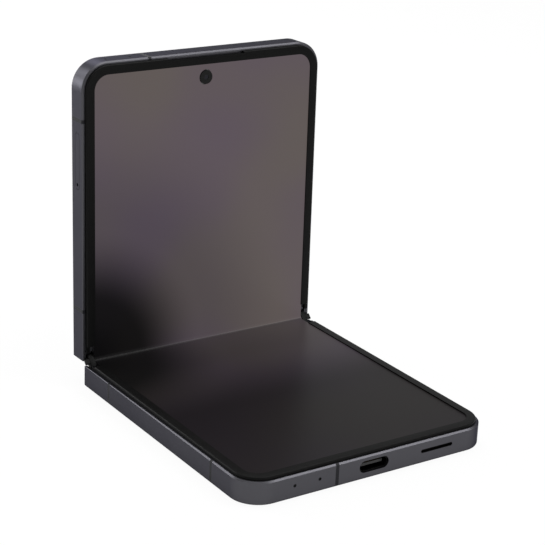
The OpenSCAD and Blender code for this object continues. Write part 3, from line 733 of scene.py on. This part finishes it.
def fold_cuts(end, count):
    """Places of the cuts that let half the fold bend, from its middle to its start."""
    return [end + (FOLD_START_Y - end) * k / count for k in range(1, count + 1)]


def cut_at(piece, places):
    """Cuts a sheet across at each place along Y."""
    cut_across(piece, [(0, y, 0) for y in places], (0, 1, 0))


def bend_with_hinge(lower, upper):
    """Bakes the places of a pair of sheets into their meshes."""
    mirror = to_upper_half()
    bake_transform(lower)
    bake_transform(upper)


class PHONE_OT_display(bpy.types.Operator):
    """Models the display as two sheets that meet in the middle of the fold"""

    bl_idname = "phone.display"
    bl_label = "Display"

    def execute(self, context):
        sizes = context.scene.phone_sizes
        far = sheet_low.y
        near = fold_middle(DISPLAY_MID)
        lower = add_block(
            "display_sheet_lower", (sheet_low.x, far, sheet_low.z), (sheet_high.x, near, sheet_high.z)
        )
        far_corners = edge_is_along((0, 0, 1), lambda middle: middle.y < 0)
        bevel_edges(lower, far_corners, sizes.corner_radius, 14)
        flat_cuts = [FOLD_START_Y - back for back in (0.002, 0.02, 0.05)]
        cut_at(lower, fold_cuts(near, sizes.fold_steps) + flat_cuts)
        bend_over_hinge(lower, DISPLAY_MID)
        upper = mirrored_copy(lower, "display_sheet_upper")
        hole_low, hole_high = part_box("front_camera")
        facing = to_upper_half().to_3x3() @ Vector((0, 0, 1))
        through = 30 * PAST
        cutter = add_disc("hole", (hole_low + hole_high) / 2, CAMERA_HOLE_RADIUS, through, facing)
        cut_away(upper, cutter)
        for piece, glow in ((lower, lower_display_glow_with_painted_highlight()), (upper, upper_display_glow_with_painted_reflection())):
            smooth(piece, 35)
            dress(piece, glow)
        bend_with_hinge(lower, upper)
        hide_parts("display_lower", "display_fold")
        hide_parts("display_upper")
        return {"FINISHED"}


class PHONE_OT_bezels(bpy.types.Operator):
    """Models the raised rims round the display, with corners that follow the picture's corners"""

    bl_idname = "phone.bezels"
    bl_label = "Bezels"

    def execute(self, context):
        sizes = context.scene.phone_sizes
        low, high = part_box("bezel_lower")
        rim = add_block("bezel_rim_lower", low, high)
        self.round_far_corners(rim, BEZEL_CORNER)

        def is_top_edge(edge):
            on_top = all(v.co.z > high.z - ON_FACE for v in edge.verts)
            return on_top and not all(v.co.y > high.y - ON_FACE for v in edge.verts)

        bevel_edges(rim, is_top_edge, sizes.bezel_round, 3)
        step = add_block(
            "step",
            (low.x - PAST, high.y - BEZEL_STEP_LENGTH, high.z - BEZEL_STEP_DEPTH),
            high + Vector((PAST, PAST, PAST)),
        )
        cut_away(rim, step)
        wall = sizes.bezel_wall
        room = add_block(
            "room",
            (low.x + wall, low.y + wall, low.z - PAST),
            (high.x - wall, high.y + PAST, DISPLAY_TOP),
        )
        self.round_far_corners(room, BEZEL_CORNER - wall)
        cut_away(rim, room)
        lap = sizes.bezel_lap
        opening = add_block(
            "opening",
            (sheet_low.x + lap, sheet_low.y + lap, low.z - PAST),
            (sheet_high.x - lap, high.y + PAST, high.z + PAST),
        )
        self.round_far_corners(opening, sizes.corner_radius - lap)
        cut_away(rim, opening)

        upper = plain_copy(rim, "bezel_rim_upper")
        half_slot = EARPIECE_SLOT_WIDTH / 2
        slot = add_block(
            "slot",
            (-half_slot, low.y - PAST, low.z - PAST),
            (half_slot, low.y + EARPIECE_SLOT_DEPTH, high.z + PAST),
        )
        cut_away(upper, slot)
        mirror_mesh(upper, to_upper_half())
        for piece, half in ((rim, "lower"), (upper, "upper")):
            smooth(piece, 30)
            dress(piece, bezel_polymer())
            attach(piece, half + "_half")
            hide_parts("bezel_" + half)
        return {"FINISHED"}

    def round_far_corners(self, block, radius):
        """Rounds the two upright edges that lie away from the hinge."""
        bevel_edges(block, edge_is_along((0, 0, 1), lambda middle: middle.y < 0), radius, 16)


class PHONE_OT_flex(bpy.types.Operator):
    """Models the flexible circuit where it crosses the hinge"""

    bl_idname = "phone.flex"
    bl_label = "Flexible circuit"

    def execute(self, context):
        sizes = context.scene.phone_sizes
        low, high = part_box("flex_fold")
        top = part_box("flex_tail_lower")[1].z
        mid = top - FLEX_THICK / 2
        near = fold_middle(mid)
        lower = add_block(
            "flex_ribbon_lower",
            (low.x, FOLD_START_Y, mid - FLEX_THICK / 2),
            (high.x, near, mid + FLEX_THICK / 2),
        )
        cut_at(lower, fold_cuts(near, sizes.fold_steps)[:-1])
        bend_over_hinge(lower, mid)
        upper = mirrored_copy(lower, "flex_ribbon_upper")
        for piece in (lower, upper):
            smooth(piece, 35)
            dress(piece, copper_foil())
        bend_with_hinge(lower, upper)
        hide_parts("flex_fold")
        return {"FINISHED"}


def hinge_frame():
    """Matrix from the hinge's own upright section to its place at rest."""
    return Matrix.Translation((lower_axis + upper_axis) / 2) @ Matrix.Rotation(LEAN, 4, "X")


class PHONE_OT_hinge_caps(bpy.types.Operator):
    """Models the rounded black caps that close the ends of the hinge"""

    bl_idname = "phone.hinge_caps"
    bl_label = "Hinge caps"

    def execute(self, context):
        radius = context.scene.phone_sizes.cap_radius
        spine_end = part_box("hinge_spine")[1].x
        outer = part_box("hinge_caps")[1].x + CAP_PAST_PACKED
        inner = spine_end + CAP_SPINE_GAP
        for side, name in ((1, "right"), (-1, "left")):
            cap = self.add_shell("hinge_cap_" + name, inner, outer, radius)
            arm = add_block(
                "cap_arm",
                (spine_end - CAP_ARM_IN_SPINE, -CAP_ARM_HALF, CAP_ARM_LOW),
                (inner + CAP_ARM_IN_CAP, CAP_ARM_HALF, CAP_ARM_HIGH),
            )
            lip = self.add_lip("cap_lip", outer - CAP_LIP_IN_CAP, HALF_WIDTH - CAP_LIP_FROM_SIDE)
            take(cap)
            arm.select_set(True)
            lip.select_set(True)
            bpy.ops.object.join()
            cap.data.transform(hinge_frame())
            if side < 0:
                mirror_mesh(cap, Matrix.Diagonal((-1, 1, 1, 1)))
            smooth(cap)
            dress(cap, bezel_polymer())
            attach(cap, "hinge")
            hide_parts("hinge_caps")
        return {"FINISHED"}

    def add_shell(self, name, inner, outer, radius):
        """The cap itself, rounded about both axes on the side away from the display."""
        reach = AXIS_OUT + radius
        shell = add_block(name, (inner, -reach, -radius), (outer, reach, CAP_TOP))
        under = edge_is_along((1, 0, 0), lambda middle: middle.z < 0)
        bevel_edges(shell, under, radius * FULL_ROUND, 8)
        over = edge_is_along((1, 0, 0), lambda middle: middle.z > CAP_TOP_ROUND)
        bevel_edges(shell, over, CAP_TOP_ROUND, 3)
        bevel_edges(
            shell, lambda edge: all(abs(v.co.x - outer) < ON_FACE for v in edge.verts), CAP_END_ROUND, 3
        )
        return shell

    def add_lip(self, name, inner, outer):
        """A slim bar round both axes that fills the gap between the frames' sides in every pose."""
        reach = AXIS_OUT + CAP_LIP_HALF
        lip = add_block(name, (inner, -reach, -CAP_LIP_HALF), (outer, reach, CAP_LIP_HALF))
        every_side = edge_is_along((1, 0, 0), lambda middle: True)
        bevel_edges(lip, every_side, CAP_LIP_HALF * FULL_ROUND, 5)
        return lip


def outward_faces(normal):
    """A face test: the face looks along a direction."""
    facing = Vector(normal).normalized()

    def check(face):
        return face.normal.dot(facing) > ALONG

    return check


def step_rings(piece, normal, steps):
    """Works concentric rings into the flat end of a round piece.

    steps are pairs of inset width and depth; a positive depth goes into the piece. The faces of the
    last step stay selected, and the piece stays in edit mode.
    """
    choose(piece, faces=outward_faces(normal))
    into = Vector(normal).normalized() * -1
    for width, depth in steps:
        bpy.ops.mesh.inset(thickness=width)
        if depth:
            bpy.ops.mesh.extrude_region_move(TRANSFORM_OT_translate={"value": into * depth})


def give_selected(piece, material):
    """Gives the selected faces a second material."""
    piece.data.materials.append(material)
    piece.active_material_index = len(piece.data.materials) - 1
    bpy.ops.object.material_slot_assign()


class PHONE_OT_front_camera(bpy.types.Operator):
    """Models the front camera's cover and its small lens"""

    bl_idname = "phone.front_camera"
    bl_label = "Front camera"

    def execute(self, context):
        sizes = context.scene.phone_sizes
        low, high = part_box("front_camera")
        facing = to_upper_half().to_3x3() @ Vector((0, 0, 1))
        middle = (low + high) / 2
        nose = middle + facing * (facing.dot(Vector((middle.x, low.y, middle.z)) - middle))
        depth = FRONT_COVER_DEPTH
        outer, inner = sizes.front_cover_radius, sizes.front_lens_radius
        cover = add_disc("front_camera_cover", nose + facing * depth / 2, outer, depth, facing)
        dress(cover, camera_cover())
        step_rings(cover, facing, ((outer - inner, FRONT_LENS_STEP), FRONT_LENS_RING))
        give_selected(cover, camera_pupil())
        leave_edit()
        smooth(cover)
        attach(cover, "upper_half")
        return {"FINISHED"}


class PHONE_OT_rear_lenses(bpy.types.Operator):
    """Models the stepped lens stacks behind the rear camera glasses"""

    bl_idname = "phone.rear_lenses"
    bl_label = "Rear lenses"

    def execute(self, context):
        low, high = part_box("camera_glasses")
        facing = to_upper_half().to_3x3() @ Vector((0, 0, -1))
        radius = (high.z - low.z) / 2 - abs(facing.z) * REAR_GLASS_ALLOWANCE
        for side, x in (("inner", low.x + radius), ("outer", high.x - radius)):
            centre = Vector((x, (low.y + high.y) / 2, (low.z + high.z) / 2))
            lens = add_disc("rear_lens_" + side, centre, radius, REAR_LENS_DEPTH, facing, 96)
            dress(lens, lens_glass())
            step_rings(lens, facing, REAR_LENS_RINGS)
            give_selected(lens, lens_coating())
            bpy.ops.mesh.inset(thickness=REAR_PUPIL_INSET)
            bpy.ops.mesh.extrude_region_move(TRANSFORM_OT_translate={"value": facing * -REAR_PUPIL_RISE})
            leave_edit()
            smooth(lens)
            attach(lens, "upper_half")
        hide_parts("camera_glasses")
        return {"FINISHED"}


class PHONE_OT_ports(bpy.types.Operator):
    """Models the socket's contacts, the loudspeaker's grille and liner, and the gaskets; the black liner
    and gaskets paint the shade inside the slot and the microphone holes
    """

    bl_idname = "phone.ports"
    bl_label = "Ports"

    def execute(self, context):
        sizes = context.scene.phone_sizes
        self.add_contacts(sizes.contact_count)
        self.add_mesh()
        self.add_painted_shade_liner()
        self.add_gaskets_with_painted_shade(sizes.port_height)
        return {"FINISHED"}

    def add_contacts(self, count):
        """Two rows of contacts, one on each side of the tongue."""
        low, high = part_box("usb_tongue")
        pitch = (high.x - low.x - 2 * CONTACT_MARGIN) / count
        half = pitch * CONTACT_HALF_SHARE
        first = -pitch * (count - 1) / 2
        front = low.y + CONTACT_MARGIN
        for name, z in (("lower", low.z - CONTACT_HEIGHT), ("upper", high.z)):
            row = add_block(
                "socket_contacts_" + name,
                (first - half, front, z),
                (first + half, front + CONTACT_LENGTH, z + CONTACT_HEIGHT),
            )
            take(row)
            repeat = row.modifiers.new("row", "ARRAY")
            repeat.use_relative_offset = False
            repeat.use_constant_offset = True
            repeat.constant_offset_displace = (pitch, 0, 0)
            repeat.count = count
            bpy.ops.object.modifier_apply(modifier=repeat.name)
            dress(row, gold_contact())
            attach(row, "lower_half")

    def add_mesh(self):
        """A plate with rows of small square holes, in place of the plain one."""
        low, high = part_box("speaker_mesh")
        plate = add_block("speaker_grille", low, high)
        across = (high.z - low.z) / 2
        ends = edge_is_along((0, 1, 0), lambda middle: True)
        bevel_edges(plate, ends, across * FULL_ROUND, 6)
        first = low.x + across
        pitch = (high.x - low.x - 2 * across) / GRILLE_COLUMNS
        cut_across(plate, [(first + pitch * k, 0, 0) for k in range(GRILLE_COLUMNS + 1)], (1, 0, 0))
        cut_across(plate, [(0, 0, low.z + across * k * 2 / 3) for k in (1, 2)], (0, 0, 1))
        dress(plate, socket_metal())

        def is_cell(face):
            middle = face.calc_center_median()
            inside = low.x + across < middle.x < high.x - across
            return inside and face.normal.y < -ALONG

        choose(plate, faces=is_cell)
        bpy.ops.mesh.inset(thickness=pitch * GRILLE_WEB_SHARE, use_individual=True)
        bpy.ops.mesh.extrude_region_move(TRANSFORM_OT_translate={"value": (0, GRILLE_HOLE_DEPTH, 0)})
        give_selected(plate, black_plastic())
        leave_edit()
        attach(plate, "lower_half")
        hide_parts("speaker_mesh")

    def add_painted_shade_liner(self):
        """A thin black collar that lines the loudspeaker's slot from its mouth to the mesh, painted
        shade over the slot's walls.
        """
        low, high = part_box("speaker_mesh")
        mouth = frame_low.y + LINER_BEHIND
        liner = add_block("speaker_slot_painted_shade_liner", (low.x, mouth, low.z), (high.x, low.y, high.z))
        ends = edge_is_along((0, 1, 0), lambda middle: True)
        bevel_edges(liner, ends, (high.z - low.z) / 2 * FULL_ROUND, 6)
        choose(liner, faces=lambda face: abs(face.normal.y) > ALONG)
        bpy.ops.mesh.inset(thickness=LINER_WALL, use_individual=True)
        bpy.ops.mesh.bridge_edge_loops()
        leave_edit()
        smooth(liner)
        dress(liner, bezel_polymer())
        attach(liner, "lower_half")

    def add_gaskets_with_painted_shade(self, height):
        """Black gaskets with a pinhole, just inside the mouth of each microphone hole: a real kind of
        part, set so far forward that its black paints the shade inside the hole.
        """
        y = frame_low.y + GASKET_BEHIND + GASKET_DEPTH / 2
        for half, node, turn in (
            ("lower", "microphones_lower", Matrix.Identity(4)),
            ("upper", "microphones_upper", to_upper_half()),
        ):
            low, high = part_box(node)
            facing = turn.to_3x3() @ Vector((0, -1, 0))
            for side, x in (("left", low.x + MICROPHONE_HALF), ("right", high.x - MICROPHONE_HALF)):
                name = "microphone_gasket_%s_%s" % (half, side)
                place = turn @ Vector((x, y, height))
                gasket = add_disc(name, place, GASKET_RADIUS, GASKET_DEPTH, facing, 32)
                step_rings(gasket, facing, ((GASKET_RADIUS - PINHOLE_RADIUS, PINHOLE_DEPTH),))
                leave_edit()
                smooth(gasket)
                dress(gasket, bezel_polymer())
                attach(gasket, half + "_half")


class PHONE_OT_finishes(bpy.types.Operator):
    """Gives every node of the frame its finish"""

    bl_idname = "phone.finishes"
    bl_label = "Finishes"

    def execute(self, context):
        groups = (
            (anodised_metal, ("frame_lower", "frame_upper", "camera_rings")),
            (spine_metal, ("hinge_spine",)),
            (anodised_metal, ("volume_key", "power_key", "sim_tray")),
            (antenna_plastic, ("antenna_bands_lower", "antenna_bands_upper")),
            (etched_glass, ("back_cover_lower", "back_cover_upper")),
            (window_glass, ("cover_window", "cover_display")),
            (bezel_polymer, ("bezel_lower", "bezel_upper", "hinge_caps")),
            (battery_wrap, ("battery_lower", "battery_upper")),
            (solder_mask, ("board_lower", "main_board")),
            (copper_foil, ("charging_coil", "flex_tail_lower", "flex_tail_upper")),
            (black_plastic, ("usb_tongue", "loudspeaker", "camera_modules", "key_switches")),
            (socket_metal, ("usb_socket",)),
            (lens_glass, ("front_camera",)),
            (flash_diffuser, ("flash_lens",)),
            (magnet_nickel, ("magnets_lower", "magnets_upper", "vibration_motor")),
        )
        done = set()
        for finish, names in groups:
            for name in names:
                dress(NODES[name], finish())
                done.add(name)
        for name, node in NODES.items():
            if name not in done:
                dress(node, brushed_steel())
        return {"FINISHED"}


# ---- Stage ----

# Shares of their own brightness that the camera and mirrored rays find in the floor and the world
FLOOR_SEEN, FLOOR_MIRRORED = 0.93, 0.42
WORLD_SEEN, WORLD_MIRRORED = 1.0, 0.5
# That brightness is plain white in the floor and this pale grey in the world
WORLD_SHADE = 0.8
# Strength of the light that the world gives
WORLD_STRENGTH = 0.30

# Lamps: name, place, size and power in watts
SOFTBOXES = (
    ("overhead_softbox", (0.05, 0.1, 0.9), 0.8, 6),
    ("right_softbox", (0.5, -0.32, 0.72), 0.35, 3.0),
    ("back_left_high_softbox", (-0.4, 0.72, 0.5), 0.32, 1.7),
    ("back_softbox", (0.15, 0.64, 0.52), 0.3, 1.4),
    ("back_left_softbox", (-0.52, 0.66, 0.16), 0.24, 1.7),
    ("left_softbox", (-0.82, -0.05, 0.16), 0.24, 0.4),
    ("front_softbox", (0.06, -0.82, 0.16), 0.24, 1.0),
)


def white_rays(tree, seen_share, mirrored_share):
    """How bright the background is to the camera, and in what mirrors it or lets it through."""
    path = tree.nodes.new("ShaderNodeLightPath")

    def math_node(operation, first, second):
        node = tree.nodes.new("ShaderNodeMath")
        node.operation = operation
        tree.links.new(first, node.inputs[0])
        if isinstance(second, float):
            node.inputs[1].default_value = second
        else:
            tree.links.new(second, node.inputs[1])
        return node.outputs[0]

    glossy, through = path.outputs["Is Glossy Ray"], path.outputs["Is Transmission Ray"]
    mirrored = math_node("MULTIPLY", math_node("MAXIMUM", glossy, through), mirrored_share)
    seen = math_node("MULTIPLY", path.outputs["Is Camera Ray"], seen_share)
    return math_node("MAXIMUM", mirrored, seen)


class PHONE_OT_stage(bpy.types.Operator):
    """Sets the pale floor, the soft light and the camera of the photograph"""

    bl_idname = "phone.stage"
    bl_label = "Stage"

    def execute(self, context):
        self.add_floor()
        self.add_world(context.scene)
        self.add_lights()
        self.add_camera(context.scene)
        context.scene.view_settings.view_transform = "Standard"
        return {"FINISHED"}

    def add_floor(self):
        deselect_all()
        bpy.ops.mesh.primitive_plane_add(size=6, location=(0, 0, 0))
        floor = name_new("floor")
        material = bpy.data.materials.new("pale_floor")
        material.use_nodes = True
        tree = material.node_tree
        shader = tree.nodes["Principled BSDF"]
        shader.inputs["Base Color"].default_value = (0.8, 0.8, 0.8, 1)
        shader.inputs["Roughness"].default_value = 0.9
        white = tree.nodes.new("ShaderNodeEmission")
        mix = tree.nodes.new("ShaderNodeMixShader")
        tree.links.new(white_rays(tree, FLOOR_SEEN, FLOOR_MIRRORED), mix.inputs[0])
        tree.links.new(shader.outputs[0], mix.inputs[1])
        tree.links.new(white.outputs[0], mix.inputs[2])
        tree.links.new(mix.outputs[0], tree.nodes["Material Output"].inputs["Surface"])
        dress(floor, material)

    def add_world(self, scene):
        world = bpy.data.worlds.new("studio")
        world.use_nodes = True
        tree = world.node_tree
        light = tree.nodes["Background"]
        light.inputs["Color"].default_value = (1, 1, 1, 1)
        light.inputs["Strength"].default_value = WORLD_STRENGTH
        pale = tree.nodes.new("ShaderNodeBackground")
        pale.inputs["Color"].default_value = shade(WORLD_SHADE)
        pale.inputs["Strength"].default_value = 1.0
        mix = tree.nodes.new("ShaderNodeMixShader")
        tree.links.new(white_rays(tree, WORLD_SEEN, WORLD_MIRRORED), mix.inputs[0])
        tree.links.new(light.outputs[0], mix.inputs[1])
        tree.links.new(pale.outputs[0], mix.inputs[2])
        tree.links.new(mix.outputs[0], tree.nodes["World Output"].inputs["Surface"])
        scene.world = world

    def add_lights(self):
        aim = Vector((0, 0.02, 0.03))
        for name, place, size, power in SOFTBOXES:
            data = bpy.data.lights.new(name, "AREA")
            data.shape = "SQUARE"
            data.size = size
            data.energy = power
            lamp = bpy.data.objects.new(name, data)
            lamp.visible_camera = False
            bpy.context.scene.collection.objects.link(lamp)
            lamp.location = place
            lamp.rotation_euler = (aim - Vector(place)).to_track_quat("-Z", "Y").to_euler()

    def add_camera(self, scene):
        stage = scene.phone_stage
        azimuth, elevation, roll = stage.azimuth, stage.elevation, stage.roll
        back = Vector(
            (
                math.sin(azimuth) * math.cos(elevation),
                -math.cos(azimuth) * math.cos(elevation),
                math.sin(elevation),
            )
        )
        level = Vector((math.cos(azimuth), math.sin(azimuth), 0))
        raised = back.cross(level)
        right = level * math.cos(roll) + raised * math.sin(roll)
        up = raised * math.cos(roll) - level * math.sin(roll)
        data = bpy.data.cameras.new("camera")
        data.lens = stage.lens
        data.sensor_width = 36
        data.dof.use_dof = False
        data.clip_start = 0.01
        camera = bpy.data.objects.new("camera", data)
        scene.collection.objects.link(camera)
        turn = Matrix((right, up, back)).transposed().to_4x4()
        camera.matrix_world = Matrix.Translation(Vector(stage.aim) + back * stage.distance) @ turn
        scene.camera = camera


# ---- Add-on ----


class PHONE_PT_panel(bpy.types.Panel):
    """Lists the pieces of the phone"""

    bl_idname = "PHONE_PT_panel"
    bl_label = "Foldable smartphone"
    bl_space_type = "VIEW_3D"
    bl_region_type = "UI"
    bl_category = "Phone"

    def draw(self, context):
        for operator in OPERATORS:
            self.layout.operator(operator.bl_idname)


OPERATORS = (
    PHONE_OT_display,
    PHONE_OT_bezels,
    PHONE_OT_flex,
    PHONE_OT_hinge_caps,
    PHONE_OT_front_camera,
    PHONE_OT_rear_lenses,
    PHONE_OT_ports,
    PHONE_OT_finishes,
    PHONE_OT_stage,
)
CLASSES = (PhoneSizes, PhoneColours, PhoneStage) + OPERATORS + (PHONE_PT_panel,)


def register():
    for kind in CLASSES:
        bpy.utils.register_class(kind)
    bpy.types.Scene.phone_sizes = bpy.props.PointerProperty(type=PhoneSizes)
    bpy.types.Scene.phone_colours = bpy.props.PointerProperty(type=PhoneColours)
    bpy.types.Scene.phone_stage = bpy.props.PointerProperty(type=PhoneStage)


def unregister():
    del bpy.types.Scene.phone_stage
    del bpy.types.Scene.phone_colours
    del bpy.types.Scene.phone_sizes
    for kind in reversed(CLASSES):
        bpy.utils.unregister_class(kind)


def main():
    register()
    bpy.ops.phone.display()
    bpy.ops.phone.bezels()
    bpy.ops.phone.flex()
    bpy.ops.phone.hinge_caps()
    bpy.ops.phone.front_camera()
    bpy.ops.phone.rear_lenses()
    bpy.ops.phone.ports()
    bpy.ops.phone.finishes()
    bpy.ops.phone.stage()


if __name__ == "__main__":
    main()
